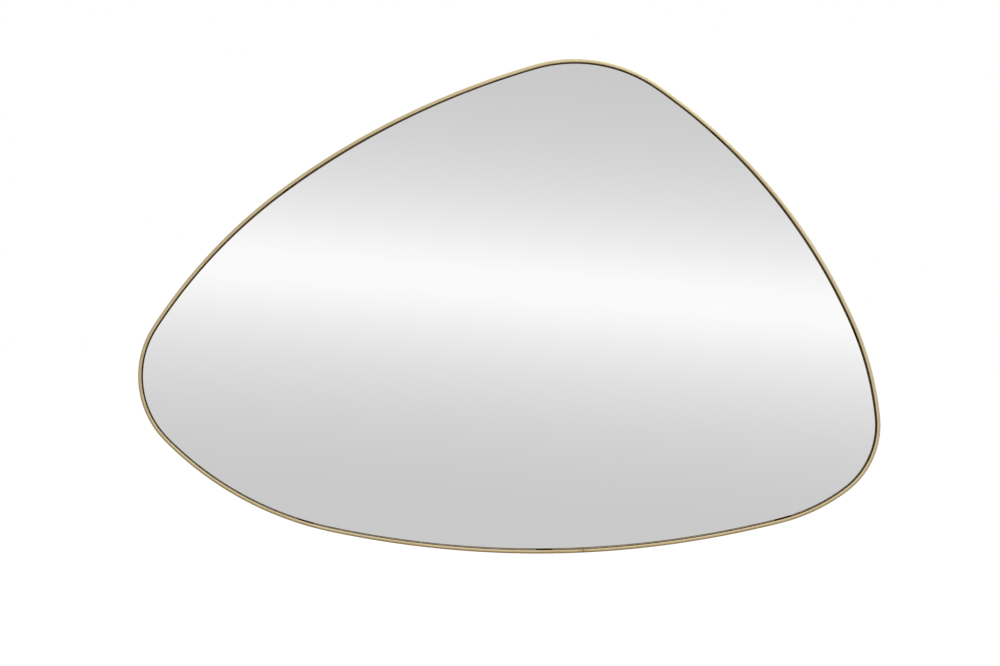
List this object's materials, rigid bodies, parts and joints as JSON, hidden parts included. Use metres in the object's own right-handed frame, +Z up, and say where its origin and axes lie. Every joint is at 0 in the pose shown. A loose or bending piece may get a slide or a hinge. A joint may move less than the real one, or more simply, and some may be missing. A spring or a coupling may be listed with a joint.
{
  "type": "irregular shaped wall mirror",
  "caption": "Wall mirror of irregular pebble outline in a slim brass hoop, with lugs, backing board, bumpers and strap hangers with swinging D-rings behind.",
  "frame": {"origin": "midway between the two wall hooks that the D-rings hang on, on the wall plane", "axes": "front faces -Y, +X to the right seen from the front, +Z up, +Y into the wall"},
  "size_m": [0.9, 0.026, 0.5999],
  "materials": {
    "hoop_brass": "fine brushed, clear lacquered",
    "lug_brass": "as brazed, lightly tarnished",
    "mirror_silver": "silvered float glass",
    "board_black": "fibreboard, matt black paint",
    "tape_foam": "closed cell foam",
    "strap_nickel": "nickel plated sheet",
    "ring_nickel": "nickel plated wire",
    "screw_steel": "zinc plated",
    "bumper_rubber": "moulded, matt"
  },
  "bodies": {
    "mirror": {"backing_board": "board_black", "fixing_lug_1": "lug_brass", "fixing_lug_2": "lug_brass", "fixing_lug_3": "lug_brass", "fixing_lug_4": "lug_brass", "fixing_lug_5": "lug_brass", "fixing_lug_6": "lug_brass", "fixing_lug_7": "lug_brass", "fixing_lug_8": "lug_brass", "frame_hoop": "hoop_brass", "hanger_screws": "screw_steel", "hanger_strap_left": "strap_nickel", "hanger_strap_right": "strap_nickel", "lug_screws": "screw_steel", "mirror_glass": "mirror_silver", "mounting_tape_1": "tape_foam", "mounting_tape_2": "tape_foam", "mounting_tape_3": "tape_foam", "mounting_tape_4": "tape_foam", "mounting_tape_5": "tape_foam", "wall_bumper_lower_left": "bumper_rubber", "wall_bumper_lower_right": "bumper_rubber", "wall_bumper_upper_left": "bumper_rubber", "wall_bumper_upper_right": "bumper_rubber"},
    "ring_left": {"hanger_ring_left": "ring_nickel"},
    "ring_right": {"hanger_ring_right": "ring_nickel"}
  },
  "joints": [
    {"name": "left_ring_swing", "type": "hinge", "parent": "mirror", "child": "ring_left", "pos_m": [-0.2, -0.0054, -0.01698], "axis": [-1, 0, 0], "range_deg": [0, 178]},
    {"name": "right_ring_swing", "type": "hinge", "parent": "mirror", "child": "ring_right", "pos_m": [0.2, -0.0054, -0.01698], "axis": [-1, 0, 0], "range_deg": [0, 178]}
  ]
}
